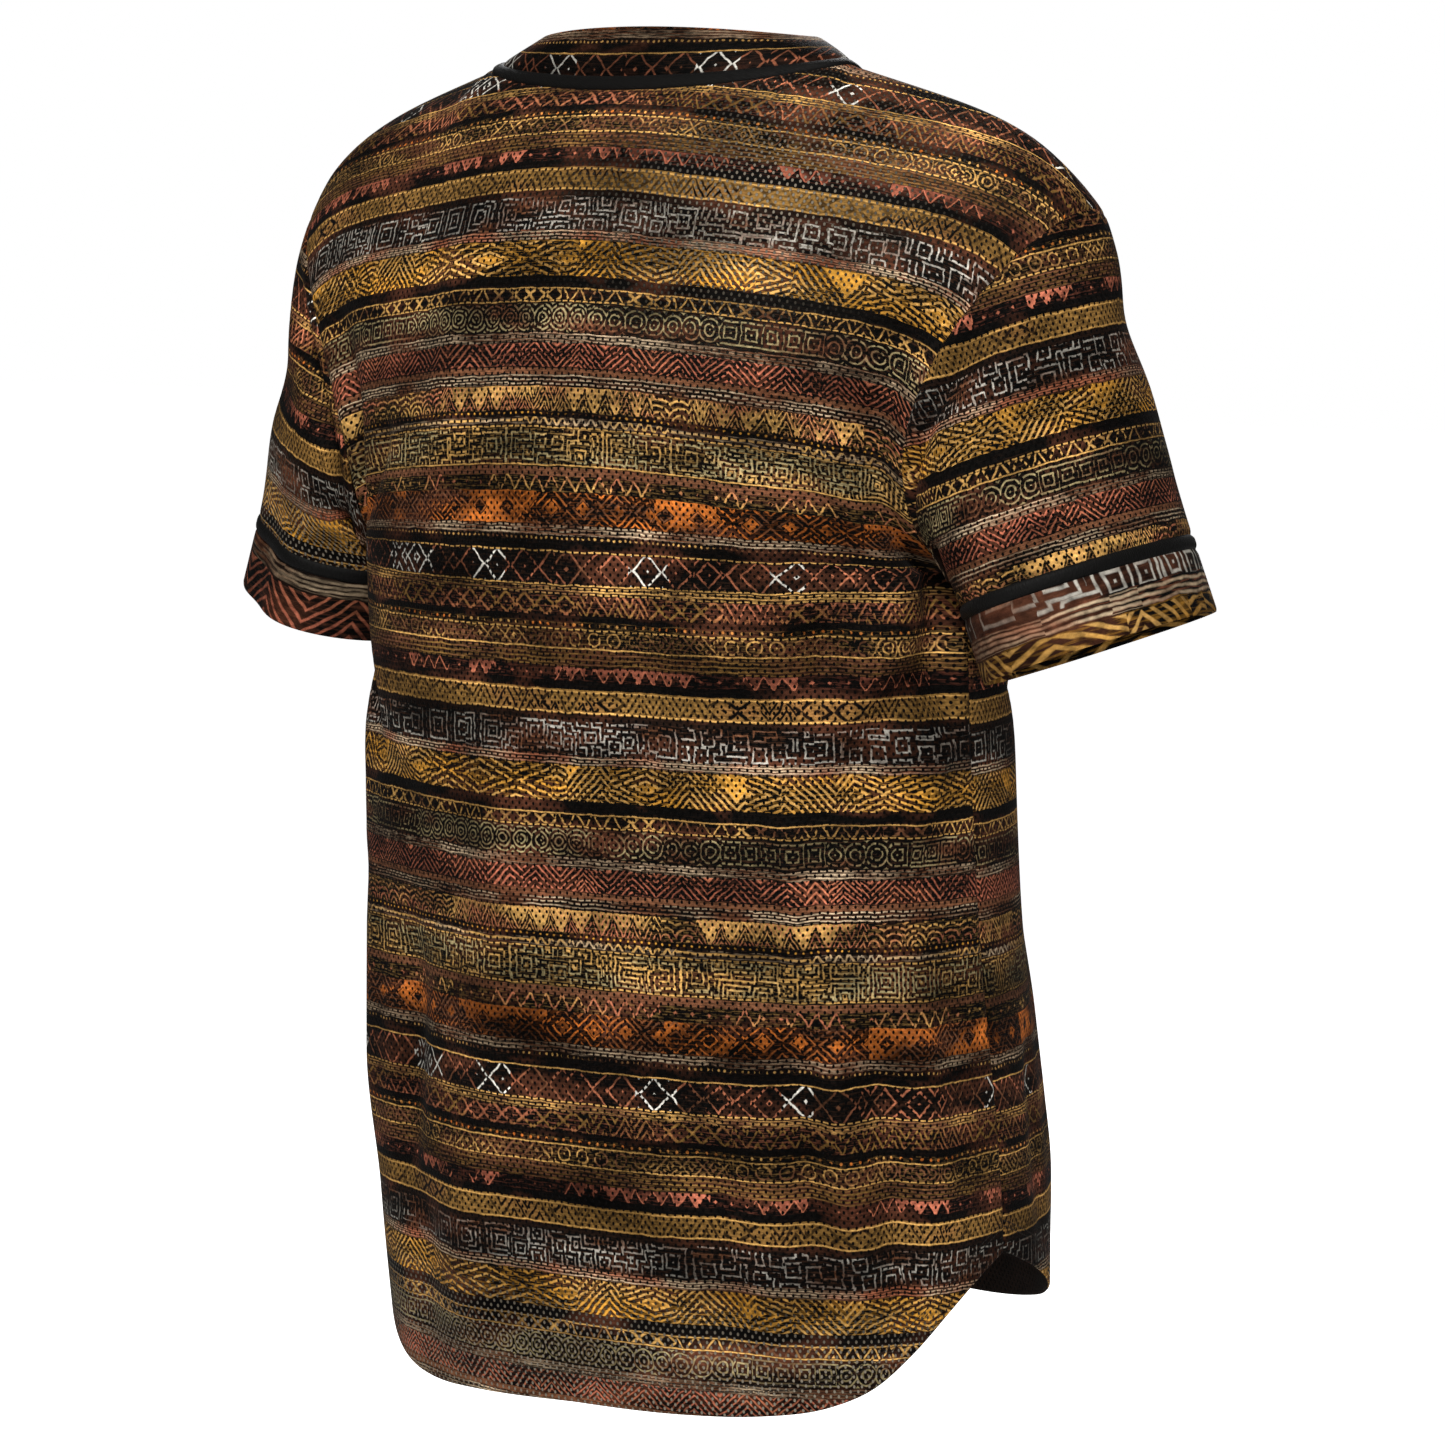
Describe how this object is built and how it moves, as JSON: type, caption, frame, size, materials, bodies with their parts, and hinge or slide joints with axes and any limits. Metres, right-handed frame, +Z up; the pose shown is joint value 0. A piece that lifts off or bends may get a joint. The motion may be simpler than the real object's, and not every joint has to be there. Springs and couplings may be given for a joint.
{
  "type": "baseball jersey",
  "caption": "Collarless button-front baseball jersey filled out as worn: short set-in sleeves, piped neck and sleeve bands, curved shirt-tail hem, banded brown and gold print.",
  "frame": {"origin": "midway between the two high shoulder points of the neck seam, where a wearer's shoulders carry the shirt", "axes": "+Z up, the front faces -Y, the wearer's right side is at -X"},
  "size_m": [0.6115, 0.3025, 0.7546],
  "materials": {
    "mesh_knit_print": "matte eyelet mesh knit with a printed band pattern",
    "plain_woven_print": "matte plain-woven cloth with the same print at a larger scale",
    "black_piping": "matte folded tape",
    "button_resin": "satin"
  },
  "bodies": {
    "root": {"back": "mesh_knit_print", "front_right": "mesh_knit_print", "front_left": "mesh_knit_print", "placket": "mesh_knit_print", "button_1": "button_resin", "button_2": "button_resin", "button_3": "button_resin", "button_4": "button_resin", "button_5": "button_resin", "button_6": "button_resin", "sleeve_right": "mesh_knit_print", "sleeve_left": "mesh_knit_print", "sleeve_band_right": "plain_woven_print", "sleeve_band_left": "plain_woven_print", "sleeve_piping_right": "black_piping", "sleeve_piping_left": "black_piping", "neckband": "plain_woven_print", "neck_piping": "black_piping"}
  },
  "joints": []
}
